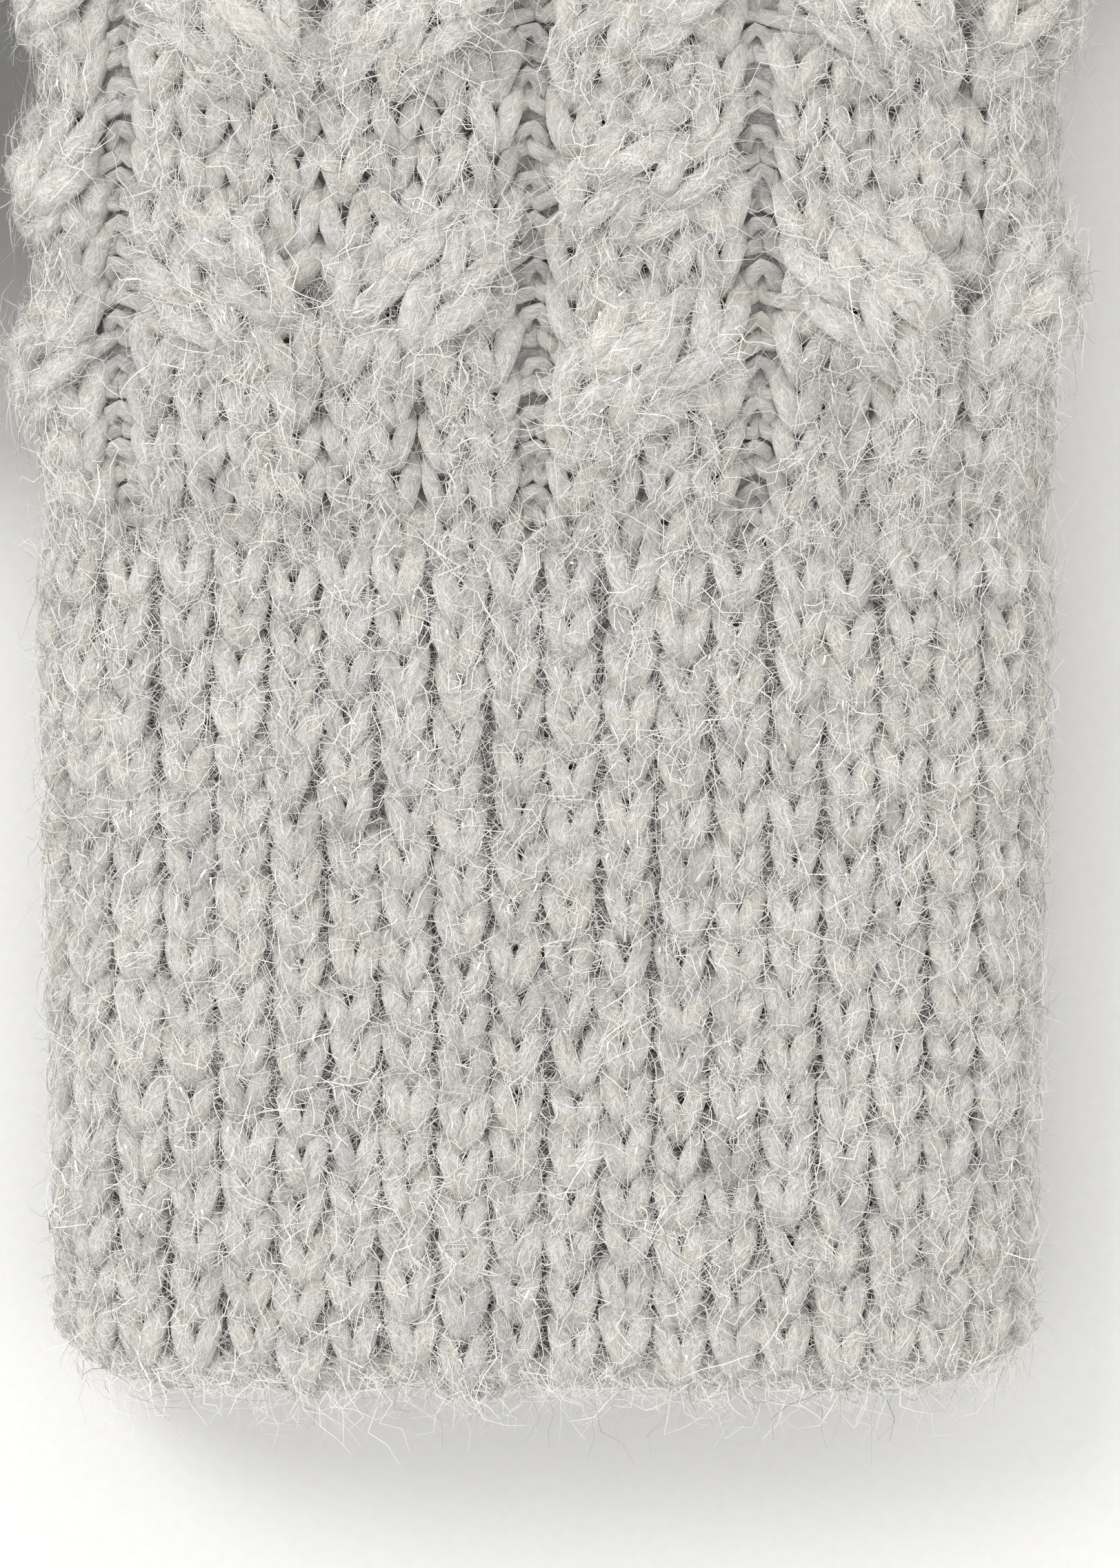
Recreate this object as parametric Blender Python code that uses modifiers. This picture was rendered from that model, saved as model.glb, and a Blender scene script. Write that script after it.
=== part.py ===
"""A pair of cable-knit mittens with long ribbed cuffs, lying palms up side by side.

Frame: +X to the right of the pair, +Y towards the fingertips, +Z up. The mittens lie on z = 0, and the
origin is the middle of the pair's footprint. Each mitten is described in its own coordinates first, with
x = 0 on its centre line, +x towards its thumb and y = 0 at the mouth of its cuff. Lengths are in metres.
"""

import math

import bmesh
import bpy
import numpy as np
from mathutils import Vector
from mathutils.geometry import interpolate_bezier

# Lengths along one mitten
CUFF_LENGTH = 0.075
HAND_LENGTH = 0.097
FINGER_LENGTH = 0.078
CAST_ON_LENGTH = 0.003
LENGTH = CUFF_LENGTH + HAND_LENGTH + FINGER_LENGTH
KNUCKLES = CUFF_LENGTH + HAND_LENGTH

# Half widths and thicknesses of the flattened tube
MOUTH_HALF = 0.0445
WRIST_HALF = 0.0463
HAND_HALF = 0.048
CUFF_THICK = 0.022
WRIST_THICK = 0.0235
HAND_THICK = 0.026
SWELL = 0.014
CROWN_LENGTH = 0.060
CROWN_TURN = math.radians(77)
WALL = 0.0045
GAP = 0.0003

# The section is a rounded oval, fuller below, where it is pressed flat by its own weight
ROUND_POWER = 0.83
BOTTOM_POWER = 0.5
FLATTENED = 0.0007
RING_POINTS = 32

# The thumb grows from an oval mouth in the side of the hand
THUMB_PLANE = HAND_HALF + 0.0021
THUMB_MIDDLE = 0.1490
THUMB_TIP_Y = (0.2130, 0.2050)
THUMB_MOUTH_HALF = 0.0195
THUMB_THICK = 0.022
THUMB_TIP_THICK = 0.015
THUMB_WALL = 0.004
THUMB_RINGS = 9
THUMB_POINTS = 22
THUMB_LIP = 0.002
COLLAR_LENGTH = 0.006

# Seam ridges, gathered tips and the care label
SEAM_RADIUS = 0.0012
SEAM_CLEAR = 0.0022
GATHER = (0.0075, 0.0030, 0.0030)
THUMB_GATHER = (0.0030, 0.0024, 0.0016)
LABEL = (0.014, 0.026, 0.0006)
LABEL_LOOP = 0.0016
LABEL_CLEAR = 0.0012

# How the pair lies
PAIR_GAP = 0.003
PAIR_SHIFT = 0.092
CENTRE_X = PAIR_GAP / 2 + HAND_HALF
RIGHT_Y = -(LENGTH + PAIR_SHIFT) / 2
SIDES = {"right": (1, RIGHT_Y), "left": (-1, RIGHT_Y + PAIR_SHIFT)}

WOOL = (0.58, 0.565, 0.54)
RIB_WOOL = (0.56, 0.545, 0.52)
SEAM_WOOL = (0.50, 0.485, 0.46)
LABEL_SATIN = (0.86, 0.86, 0.84)


def clear_scene():
    for old in list(bpy.data.objects):
        bpy.data.objects.remove(old, do_unlink=True)


def collection(name):
    made = bpy.data.collections.new(name)
    bpy.context.scene.collection.children.link(made)
    return made


def material(name, colour, roughness):
    made = bpy.data.materials.new(name)
    made.use_nodes = True
    shader = made.node_tree.nodes["Principled BSDF"]
    shader.inputs["Base Color"].default_value = (*colour, 1)
    shader.inputs["Roughness"].default_value = roughness
    shader.inputs["Metallic"].default_value = 0
    return made


def smooth(t):
    t = min(max(t, 0), 1)
    return t * t * (3 - 2 * t)


def oval(count):
    """Points evenly spaced round the section, as shares of its half width and of its thickness."""
    turn = np.linspace(0, 2 * math.pi, 2001)
    across = np.sign(np.cos(turn)) * np.abs(np.cos(turn)) ** ROUND_POWER
    power = np.where(np.sin(turn) > 0, ROUND_POWER, BOTTOM_POWER)
    up = 0.5 + 0.5 * np.sign(np.sin(turn)) * np.abs(np.sin(turn)) ** power
    flat = FLATTENED / HAND_THICK
    up = np.where(up < 0.5, np.maximum(up - flat, 0) * 0.5 / (0.5 - flat), up)
    steps = np.hypot(np.diff(across) * HAND_HALF, np.diff(up) * HAND_THICK)
    along = np.concatenate([[0], np.cumsum(steps)])
    places = np.arange(count) / count * along[-1]
    return list(zip(np.interp(places, along, across), np.interp(places, along, up)))


def half_width(y):
    if y <= CUFF_LENGTH:
        return MOUTH_HALF + (WRIST_HALF - MOUTH_HALF) * y / CUFF_LENGTH
    return WRIST_HALF + (HAND_HALF - WRIST_HALF) * smooth((y - CUFF_LENGTH) / SWELL)


def thickness(y):
    if y <= CUFF_LENGTH:
        return CUFF_THICK + (WRIST_THICK - CUFF_THICK) * y / CUFF_LENGTH
    return WRIST_THICK + (HAND_THICK - WRIST_THICK) * smooth((y - CUFF_LENGTH) / SWELL)


def body_ring(y, points):
    """One ring of the hand tube at y."""
    return [Vector((half_width(y) * a, y, thickness(y) * u)) for a, u in points]


def crown_ring(turn, points):
    """One ring of the rounded fingertip, where turn goes from 0, upright, towards a right angle at the tip."""
    y = LENGTH - CROWN_LENGTH + CROWN_LENGTH * math.sin(turn)
    wide = HAND_HALF * math.cos(turn) ** 0.8
    thick = HAND_THICK * math.cos(turn) ** 0.33
    return [Vector((wide * a, y, thick * u)) for a, u in points]


def thumb_edges():
    """The thumb's inner and outer edges in plan, from its mouth to its tip."""
    mouth = THUMB_PLANE + GAP / 2 + THUMB_LIP
    inner = (
        Vector((mouth, THUMB_MIDDLE + THUMB_MOUTH_HALF, 0)),
        Vector((mouth + 0.001, THUMB_MIDDLE + 0.036, 0)),
        Vector((0.0620, THUMB_TIP_Y[0] - 0.006, 0)),
        Vector((0.0745, THUMB_TIP_Y[0], 0)),
    )
    outer = (
        Vector((mouth, THUMB_MIDDLE - THUMB_MOUTH_HALF, 0)),
        Vector((0.0770, THUMB_MIDDLE - THUMB_MOUTH_HALF + 0.002, 0)),
        Vector((0.0980, THUMB_TIP_Y[1] - 0.0265, 0)),
        Vector((0.0885, THUMB_TIP_Y[1], 0)),
    )
    return interpolate_bezier(*inner, THUMB_RINGS), interpolate_bezier(*outer, THUMB_RINGS)


def thumb_thickness(step):
    return THUMB_THICK + (THUMB_TIP_THICK - THUMB_THICK) * (step / (THUMB_RINGS - 1)) ** 3


def thumb_rings(points):
    rings = []
    for step, (near, far) in enumerate(zip(*thumb_edges())):
        thick = thumb_thickness(step)
        middle, reach = (near + far) / 2, (far - near) / 2
        rings.append([middle + reach * a + Vector((0, 0, thick * u)) for a, u in points])
    lip = [p - Vector((THUMB_LIP, 0, 0)) for p in rings[0]]
    return [lip, *rings]


def placed(side, p):
    """A point of one mitten's own coordinates in the pair's frame."""
    sign, y0 = SIDES[side]
    return Vector((sign * (CENTRE_X + p.x), y0 + p.y, p.z))


def add(name, mesh, surface, parts):
    made = bpy.data.objects.new(name, mesh)
    mesh.materials.append(surface)
    parts.objects.link(made)
    return made


def shell(name, side, rings, wall, surface, parts):
    """A knitted tube: a loft through the rings, thickened inwards."""
    build = bmesh.new()
    rows = [[build.verts.new(placed(side, p)) for p in ring] for ring in rings]
    for low, high in zip(rows, rows[1:]):
        for i in range(len(low)):
            j = (i + 1) % len(low)
            build.faces.new((low[i], high[i], high[j], low[j]))
    bmesh.ops.recalc_face_normals(build, faces=build.faces)
    middle = sum((v.co for v in build.verts), Vector()) / len(build.verts)
    outward = sum((f.normal.dot(f.calc_center_median() - middle) for f in build.faces), 0)
    if outward < 0:
        bmesh.ops.reverse_faces(build, faces=build.faces)
    mesh = bpy.data.meshes.new(name)
    build.to_mesh(mesh)
    build.free()
    mesh.shade_smooth()
    made = add(name, mesh, surface, parts)
    thicken = made.modifiers.new("Wall", "SOLIDIFY")
    thicken.thickness = wall
    thicken.offset = -1
    thicken.use_even_offset = True
    thicken.use_rim = True
    return made


def levels(low, high, count):
    return [low + (high - low) * i / (count - 1) for i in range(count)]


def ridge(name, side, route, surface, parts):
    """A seam ridge: a round bar along its route."""
    line = bpy.data.curves.new(name, "CURVE")
    line.dimensions = "3D"
    line.bevel_depth = SEAM_RADIUS
    line.bevel_resolution = 2
    line.use_fill_caps = True
    spline = line.splines.new("POLY")
    spline.points.add(len(route) - 1)
    for point, p in zip(spline.points, route):
        point.co = (*placed(side, p), 1)
    made = bpy.data.objects.new(name, line)
    line.materials.append(surface)
    parts.objects.link(made)
    return made


def gather(name, side, middle, radii, turn, surface, parts):
    """The drawn-up knot of stitches that closes a tip."""
    build = bmesh.new()
    bmesh.ops.create_uvsphere(build, u_segments=14, v_segments=8, radius=1)
    mesh = bpy.data.meshes.new(name)
    bmesh.ops.scale(build, vec=Vector(radii), verts=build.verts)
    build.to_mesh(mesh)
    build.free()
    mesh.shade_smooth()
    made = add(name, mesh, surface, parts)
    made.location = placed(side, middle)
    made.rotation_euler = (0, 0, -SIDES[side][0] * turn)
    return made


def oval_bar(name, side, low_x, high_x, half_y, half_z, middle_z):
    """An oval bar along X, from low_x to high_x, as a mesh in the pair's frame."""
    build = bmesh.new()
    bmesh.ops.create_cone(
        build, cap_ends=True, segments=THUMB_POINTS, radius1=1, radius2=1, depth=high_x - low_x
    )
    middle = Vector(((low_x + high_x) / 2, THUMB_MIDDLE, middle_z))
    for v in build.verts:
        v.co = placed(side, middle + Vector((v.co.z, v.co.y * half_y, v.co.x * half_z)))
    if build.calc_volume(signed=True) < 0:
        bmesh.ops.reverse_faces(build, faces=build.faces)
    mesh = bpy.data.meshes.new(name)
    build.to_mesh(mesh)
    build.free()
    return mesh


def cut(target, cutter):
    made = target.modifiers.new("Cut", "BOOLEAN")
    made.operation = "DIFFERENCE"
    made.object = cutter


def helper(name, mesh, cutters):
    made = bpy.data.objects.new(name, mesh)
    made.hide_render = True
    made.display_type = "WIRE"
    cutters.objects.link(made)
    return made


def make_cuff(side, points, wool, seam, parts):
    edge = [body_ring(y, points) for y in levels(0, CAST_ON_LENGTH, 2)]
    shell(f"{side}_cast_on_edge", side, edge, WALL, wool, parts)
    rib = [body_ring(y, points) for y in levels(CAST_ON_LENGTH + GAP, CUFF_LENGTH - GAP / 2, 4)]
    shell(f"{side}_cuff_rib", side, rib, WALL, wool, parts)
    ridge(f"{side}_cuff_seam", side, side_route(CAST_ON_LENGTH, CUFF_LENGTH, 5), seam, parts)


def side_route(low, high, count):
    """A line just inside the thumb-side wall, from low to high with the joints' clearance at its ends."""
    inset = WALL + SEAM_RADIUS + SEAM_CLEAR
    ys = levels(low + 2 * GAP, high - 2 * GAP, count)
    return [Vector((half_width(y) - inset, y, thickness(y) * 0.5)) for y in ys]


def make_hand(side, points, wool, seam, parts, cutters):
    low, high = CUFF_LENGTH + GAP / 2, KNUCKLES - GAP / 2
    heights = levels(low, low + SWELL, 4) + levels(low + SWELL, high, 5)[1:]
    hand = shell(f"{side}_hand_tube", side, [body_ring(y, points) for y in heights], WALL, wool, parts)
    start = THUMB_PLANE - GAP / 2 - COLLAR_LENGTH
    middle, half_z = THUMB_THICK * 0.51, THUMB_THICK * 0.485
    hole = oval_bar(
        f"{side}_thumb_hole",
        side,
        start - GAP,
        start + 4 * COLLAR_LENGTH,
        THUMB_MOUTH_HALF + 2 * GAP,
        half_z + 2 * GAP,
        middle,
    )
    cut(hand, helper(f"{side}_thumb_hole_cutter", hole, cutters))
    collar = oval_bar(
        f"{side}_thumb_gusset", side, start, THUMB_PLANE - GAP / 2, THUMB_MOUTH_HALF, half_z, middle
    )
    gusset = add(f"{side}_thumb_gusset", collar, wool, parts)
    bore = oval_bar(
        f"{side}_thumb_bore",
        side,
        start - COLLAR_LENGTH,
        start + 4 * COLLAR_LENGTH,
        THUMB_MOUTH_HALF - THUMB_WALL,
        half_z - THUMB_WALL,
        middle,
    )
    bore_cutter = helper(f"{side}_thumb_bore_cutter", bore, cutters)
    cut(gusset, bore_cutter)
    cut(hand, bore_cutter)
    below_thumb = THUMB_MIDDLE - THUMB_MOUTH_HALF - 0.002
    ridge(f"{side}_hand_seam", side, side_route(CUFF_LENGTH, below_thumb, 5), seam, parts)


def make_fingers(side, points, wool, seam, parts):
    low, crown = KNUCKLES + GAP / 2, LENGTH - CROWN_LENGTH
    rings = [body_ring(y, points) for y in levels(low, crown, 3)]
    rings += [crown_ring(turn, points) for turn in levels(0, CROWN_TURN, 8)[1:]]
    shell(f"{side}_finger_pouch", side, rings, WALL, wool, parts)
    tip = Vector((0, LENGTH - GATHER[1], HAND_THICK * math.cos(CROWN_TURN) ** 0.33 / 2))
    gather(f"{side}_crown_gather", side, tip, GATHER, 0, seam, parts)
    inset = WALL + SEAM_RADIUS + SEAM_CLEAR
    route = side_route(KNUCKLES, crown, 3)
    for turn in levels(0, CROWN_TURN * 0.62, 6)[1:]:
        edge = Vector((HAND_HALF * math.cos(turn) ** 0.8, crown + CROWN_LENGTH * math.sin(turn), 0))
        inward = Vector((math.cos(turn), math.sin(turn) * 0.9, 0)).normalized() * inset
        mid_z = HAND_THICK * math.cos(turn) ** 0.33 / 2
        route.append(edge - inward + Vector((0, 0, mid_z)))
    ridge(f"{side}_finger_seam", side, route, seam, parts)


def make_thumb(side, wool, seam, parts):
    rings = thumb_rings(oval(THUMB_POINTS))
    shell(f"{side}_thumb_tube", side, rings, THUMB_WALL, wool, parts)
    near, far = thumb_edges()
    along = (near[-1] + far[-1] - near[-2] - far[-2]).normalized()
    tip = (near[-1] + far[-1]) / 2 - along * 0.0012 + Vector((0, 0, THUMB_TIP_THICK / 2))
    gather(f"{side}_thumb_gather", side, tip, THUMB_GATHER, math.atan2(along.x, along.y), seam, parts)
    inset = THUMB_WALL + SEAM_RADIUS + 1.6 * SEAM_CLEAR
    route = []
    for step in range(1, THUMB_RINGS - 2):
        outward = (far[step] - near[step]).normalized()
        route.append(far[step] - outward * inset + Vector((0, 0, thumb_thickness(step) / 2)))
    ridge(f"{side}_thumb_seam", side, route, seam, parts)


def make_label(side, satin, parts):
    """A blank folded label sewn inside the cuff, lying on the lower wall."""
    wide, long, thin = LABEL
    profile = [(0, 0), (long, 0), (long + LABEL_LOOP, LABEL_LOOP / 2), (long, LABEL_LOOP), (0, LABEL_LOOP)]
    base = Vector((0.010, 0.008, WALL + LABEL_CLEAR))
    build = bmesh.new()
    rows = [
        [build.verts.new(placed(side, base + Vector((x, y, z)))) for y, z in profile] for x in (0, wide)
    ]
    for i in range(len(profile) - 1):
        build.faces.new((rows[0][i], rows[1][i], rows[1][i + 1], rows[0][i + 1]))
    bmesh.ops.recalc_face_normals(build, faces=build.faces)
    mesh = bpy.data.meshes.new(f"{side}_care_label")
    build.to_mesh(mesh)
    build.free()
    made = add(f"{side}_care_label", mesh, satin, parts)
    thicken = made.modifiers.new("Weave", "SOLIDIFY")
    thicken.thickness = thin
    thicken.offset = 0


def main():
    clear_scene()
    parts, cutters = collection("knitted_mittens"), collection("cutters")
    wool = material("cable_knit_wool", WOOL, 0.92)
    rib_wool = material("rib_knit_wool", RIB_WOOL, 0.92)
    seam = material("seam_yarn", SEAM_WOOL, 0.9)
    satin = material("label_satin", LABEL_SATIN, 0.45)
    points = oval(RING_POINTS)
    for side in SIDES:
        make_cuff(side, points, rib_wool, seam, parts)
        make_hand(side, points, wool, seam, parts, cutters)
        make_fingers(side, points, wool, seam, parts)
        make_thumb(side, wool, seam, parts)
    make_label("right", satin, parts)


main()
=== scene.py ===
"""Looks of a pair of cable-knit mohair mittens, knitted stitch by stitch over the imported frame.

Every row of stitches is one closed loop of real yarn, worked out on a map of the mitten's surface. A point
of the map is (turn, run, rise): turn is the share of the way round from the middle of the upper face towards
the thumb side, run is the length along the mitten from the mouth, and rise is the height above the CAD's
outer surface. Each mitten is worked out in its own coordinates, with x = 0 on its centre line, +x towards
its thumb and y = 0 at the mouth of its cuff, and then placed. Lengths are in metres.
"""

import math

import bpy
import numpy as np
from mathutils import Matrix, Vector


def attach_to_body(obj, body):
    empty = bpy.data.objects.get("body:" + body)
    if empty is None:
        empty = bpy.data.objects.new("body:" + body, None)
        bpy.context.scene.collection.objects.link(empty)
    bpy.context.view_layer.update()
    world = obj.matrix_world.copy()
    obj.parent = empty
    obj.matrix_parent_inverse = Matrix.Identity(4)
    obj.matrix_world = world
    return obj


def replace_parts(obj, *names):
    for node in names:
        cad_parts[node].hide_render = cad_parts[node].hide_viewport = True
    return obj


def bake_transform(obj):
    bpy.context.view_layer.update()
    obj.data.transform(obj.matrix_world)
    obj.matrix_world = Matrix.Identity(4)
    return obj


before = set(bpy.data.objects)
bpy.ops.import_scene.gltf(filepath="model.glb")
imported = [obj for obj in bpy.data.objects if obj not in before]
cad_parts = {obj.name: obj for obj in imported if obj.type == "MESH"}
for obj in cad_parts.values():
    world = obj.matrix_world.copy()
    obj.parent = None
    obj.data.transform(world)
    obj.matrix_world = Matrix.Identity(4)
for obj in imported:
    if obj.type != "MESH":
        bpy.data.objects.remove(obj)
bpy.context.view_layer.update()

# The shape of one mitten, as in the CAD
CUFF_LENGTH = 0.075
HAND_LENGTH = 0.097
FINGER_LENGTH = 0.078
LENGTH = CUFF_LENGTH + HAND_LENGTH + FINGER_LENGTH
MOUTH_HALF = 0.0445
WRIST_HALF = 0.0463
HAND_HALF = 0.048
CUFF_THICK = 0.022
WRIST_THICK = 0.0235
HAND_THICK = 0.026
SWELL = 0.014
CROWN_LENGTH = 0.060
CROWN_TURN = math.radians(77)
ROUND_POWER = 0.83
BOTTOM_POWER = 0.5
THUMB_PLANE = HAND_HALF + 0.0021
THUMB_MIDDLE = 0.1490
THUMB_MOUTH_HALF = 0.0195
THUMB_THICK = 0.022
THUMB_TIP_THICK = 0.015
THUMB_LIP = 0.00215
THUMB_TIP_Y = (0.2130, 0.2050)
PAIR_GAP = 0.003
PAIR_SHIFT = 0.092
CENTRE_X = PAIR_GAP / 2 + HAND_HALF
RIGHT_Y = -(LENGTH + PAIR_SHIFT) / 2
SIDES = {"right": (1, RIGHT_Y), "left": (-1, RIGHT_Y + PAIR_SHIFT)}

# The knitting
RIB_ROW = 0.0044
RIB_UNITS = 40
RIB_WIDE = 0.0045
RIB_PURL_WIDE = 0.0032
RIB_RISE = 0.0012
RIB_SLIP = 0.0007
RIB_WANDER = 0.0002
RIB_CROWN = 0.10
RIB_PURL_THICK = 0.9
FIRST_RIB_ROW = 0.0036
ROW_MARGIN = 0.001  # left free of rows, at the end of the cuff and of the hand
LAST_RIB_SINK = 0.0016
RIB_BASE = -0.0026
ROW = 0.0043
STITCH = 0.0044
HAND_BASE = -0.0029
THUMB_BASE = -0.0022
PURL_SINK = 0.0013
PURL_STRETCH = 1.25
FIRST_HAND_ROW = 0.0020
COLUMN_WANDER = 0.0002
PLAIN_WANDER = 0.0001
CROWN_LIFT = 0.7
CROWN_LEAN = 0.6
HAND_ROUND = 0.208
MM = 0.001
YARN_SIDES = 6
YARN_POINTS = 1.45  # points along the finished yarn for each point of the stitch shapes
FELT_RISE = {"hem": -0.0030, "cuff": -0.0030, "wrist": -0.0031, "thumb": -0.0034}
HAND_FELT_RISE = -0.0040
FELT_THICK = 0.0005
TWIST_ROUND = 0.208  # metres round the hand, for the width of a seam
SEAM_RISE = -0.0056
SEAM_TURN = 0.25
SEAM_START = 0.003
SEAM_STOP = 0.030  # short of the tip
THUMB_SEAM = (0.006, 0.008)  # clear of the thumb's root and tip
LABEL_WIDE = 0.014
LABEL_LONG = 0.026
LABEL_AT = (0.010, 0.008, 0.0057)
LABEL_FOLD = 0.00045
LABEL_HALF = 0.00011
LABEL_SWAY = 0.00018
LABEL_POINTS = 14
LABEL_COLUMNS = 13
FELT_COLUMNS = 96
FELT_STEP = 0.003
FELT_START = 0.0025
THUMB_FELT_START = 0.0015
FELT_STOP = 0.001  # short of the tip
THUMB_START = 0.001
TIP = 9.0  # a run past every tip
MOUTH_CORNER = 0.0035
MOUTH_EASE = 0.022
ROPE = {"period": 0.0172, "share": 0.80, "phase": 0.0942, "front": 0.0024, "back": -0.0012}
WIDE = {"period": 0.0258, "share": 0.66, "phase": 0.1010, "front": 0.0029, "back": -0.0012}

FRONT_SPREAD = 0.48
BACK_SPREAD = 0.80
SPREAD_PLUMP = 0.7
LEAN_PLUMP = 0.3
LEAN_SHARE = 0.7
LEAN_STEP = 0.0006
STITCH_CROWN = 0.077  # how far a stitch's edges fall away, per millimetre squared
JITTER = (0.04, 0.055, 0.1, 0.07)  # of a stitch across, along, in rise (millimetres) and in radius

# Half of one knit stitch: across in stitch widths, along in rows, rise and yarn radius in millimetres
HALF_STITCH = [
    (-0.27, -0.62, -1.10, 0.76),
    (-0.08, -0.50, -0.05, 0.90),
    (-0.14, -0.18, 0.80, 1.10),
    (-0.25, 0.14, 1.00, 1.18),
    (-0.345, 0.48, 0.68, 1.06),
    (-0.34, 0.80, -0.35, 0.84),
    (0.0, 1.04, -1.30, 0.74),
]
STITCH_POINTS = np.array(
    HALF_STITCH + [(-across, along, rise, radius) for across, along, rise, radius in HALF_STITCH[-2::-1]]
)
JOIN_RADIUS = 0.72  # of the loop between two stitches, in millimetres
JOIN_GAP = 0.0012
JOIN_AHEAD = 0.12
JOIN_SINK = 0.15

# The hand's columns from the outer side: a rope with its lean, or a purl trough with its width
LAYOUT_START = -0.0584
LAYOUT = [
    (1, ROPE), 0.0032,
    (-1, WIDE), (1, WIDE), 0.0026,
    (1, ROPE), 0.0028,
    (-1, WIDE), (1, WIDE), 0.0030,
    (-1, ROPE), 0.0030,
    (-1, WIDE), (1, WIDE), 0.0030,
    (-1, ROPE), 0.0030,
]

# Twisted yarns: where they run, then rise, twists, width, height and radius
EDGES = (
    (0.0017, -0.0026, 40.5, 0.0009, 0.0008, 0.00115),  # cast-on edge
    (CUFF_LENGTH + 0.0004, -0.0030, 30.5, 0.0005, 0.0006, 0.0008),  # purl bumps
)
EDGE_POINTS = 600
GATHER_POINTS = 120
GATHER_RINGS = ((0.0030, -0.0016, 9.5), (0.0008, -0.0012, 4.5))  # back from the tip, rise, twists
GATHER_YARN = (0.0006, 0.0006, 0.0009)  # width, height and radius
SEAM_YARN = (0.0006, 0.0005, 0.0007)
SEAM_HALF = 0.0005
SEAM_POINTS_A_METRE = 6000
SEAM_TWISTS_A_METRE = 900

# Fuzz
HAIRS_PER_MITTEN = 230000
GLINTS_PER_MITTEN = 8000
UNDER_SHARE = 0.20  # of the hairs drawn for the lower face that are kept
BODY_FUZZ_RISE = -0.0026
THUMB_FUZZ_RISE = -0.0020
HAIR_STEPS = 4
LOOSE_SHARE = 0.20  # of the hairs stand off the yarn
HAIR_LENGTH = (1.4, 9)  # millimetres, shortest and longest
HAIR_HALF = (0.018, 0.036)  # millimetres, half of a hair's width
TUFT_SHARE = 0.4  # of the hairs are drawn as tufts, this much thicker
TUFT_THICK = 1.8
LOOSE_THICK = 0.75
OUTWARD = 1.45  # radians to each side of a yarn's top that hold roots
GLINT_LENGTH = (0.8, 2.0)
GLINT_HALF = (0.04, 0.065)
GLINT_LIFT = (0.42, 0.16)  # millimetres at its ends, and more at its middle
FIBRE_FLOOR = 0.0004
FELT_FLOOR = 0.0006
FELT_ROUGH = 0.00022
YARN_ROUND = 6.9  # millimetres round a yarn
MAX_TRIANGLES = 200_000  # of one piece; the export decimates any above it
YARN_SHIFT = 137.31  # millimetres between the starts of two rows in the yarn pattern


def smooth(t):
    t = np.clip(t, 0, 1)
    return t * t * (3 - 2 * t)


def unit(vectors):
    return vectors / np.maximum(np.linalg.norm(vectors, axis=-1, keepdims=True), 1e-12)


# ---- the surface map


def half_width(y):
    on_cuff = MOUTH_HALF + (WRIST_HALF - MOUTH_HALF) * y / CUFF_LENGTH
    on_hand = WRIST_HALF + (HAND_HALF - WRIST_HALF) * smooth((y - CUFF_LENGTH) / SWELL)
    return np.where(y <= CUFF_LENGTH, on_cuff, on_hand)


def thickness(y):
    on_cuff = CUFF_THICK + (WRIST_THICK - CUFF_THICK) * y / CUFF_LENGTH
    on_hand = WRIST_THICK + (HAND_THICK - WRIST_THICK) * smooth((y - CUFF_LENGTH) / SWELL)
    return np.where(y <= CUFF_LENGTH, on_cuff, on_hand)


def oval(wide, thick, count):
    """A closed section from the middle of its upper face, evenly spaced: across and up as shares."""
    turn = np.linspace(0, 2 * math.pi, 1441)
    across = np.sign(np.sin(turn)) * np.abs(np.sin(turn)) ** ROUND_POWER
    power = np.where(np.cos(turn) > 0, ROUND_POWER, BOTTOM_POWER)
    up = 0.5 + 0.5 * np.sign(np.cos(turn)) * np.abs(np.cos(turn)) ** power
    steps = np.hypot(np.diff(across) * wide, np.diff(up) * thick)
    along = np.concatenate([[0], np.cumsum(steps)])
    places = np.arange(count) / count * along[-1]
    return np.interp(places, along, across), np.interp(places, along, up), along[-1]


class Surface:
    """A table of points and outward normals over turn and run, read by interpolation."""

    COLUMNS = 192

    def __init__(self, rings, perimeters):
        rings = np.array(rings)
        middles = rings[:, 0]
        run = np.concatenate([[0], np.cumsum(np.linalg.norm(np.diff(middles, axis=0), axis=1))])
        self.length = run[-1]
        self.step = 0.001
        count = int(self.length / self.step) + 1
        self.runs = np.arange(count) * self.step
        flat = rings.reshape(len(rings), -1)
        table = np.stack([np.interp(self.runs, run, flat[:, i]) for i in range(flat.shape[1])], axis=1)
        self.points = table.reshape(count, self.COLUMNS, 3)
        self.perimeters = np.interp(self.runs, run, perimeters)
        around = np.roll(self.points, -1, axis=1) - np.roll(self.points, 1, axis=1)
        along = np.gradient(self.points, axis=0)
        self.normals = unit(np.cross(around, along))

    def perimeter(self, run):
        return np.interp(run, self.runs, self.perimeters)

    def read(self, table, turn, run):
        row = np.clip(run / self.step, 0, len(self.runs) - 1.001)
        low = row.astype(int)
        f = (row - low)[..., None]
        column = (turn % 1.0) * self.COLUMNS
        left = column.astype(int) % self.COLUMNS
        right = (left + 1) % self.COLUMNS
        g = (column - np.floor(column))[..., None]
        near = table[low, left] * (1 - g) + table[low, right] * g
        far = table[low + 1, left] * (1 - g) + table[low + 1, right] * g
        return near * (1 - f) + far * f

    def place(self, turn, run, rise):
        """The points for arrays of turn, run and rise, and the surface's normals there."""
        normal = unit(self.read(self.normals, turn, run))
        points = self.read(self.points, turn, run) + normal * rise[..., None]
        beyond = np.minimum(run, 0)[..., None] + np.maximum(run - self.length, 0)[..., None]
        return points + beyond * self.axis(), normal

    def axis(self):
        return unit(self.points[2].mean(axis=0) - self.points[0].mean(axis=0))


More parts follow.
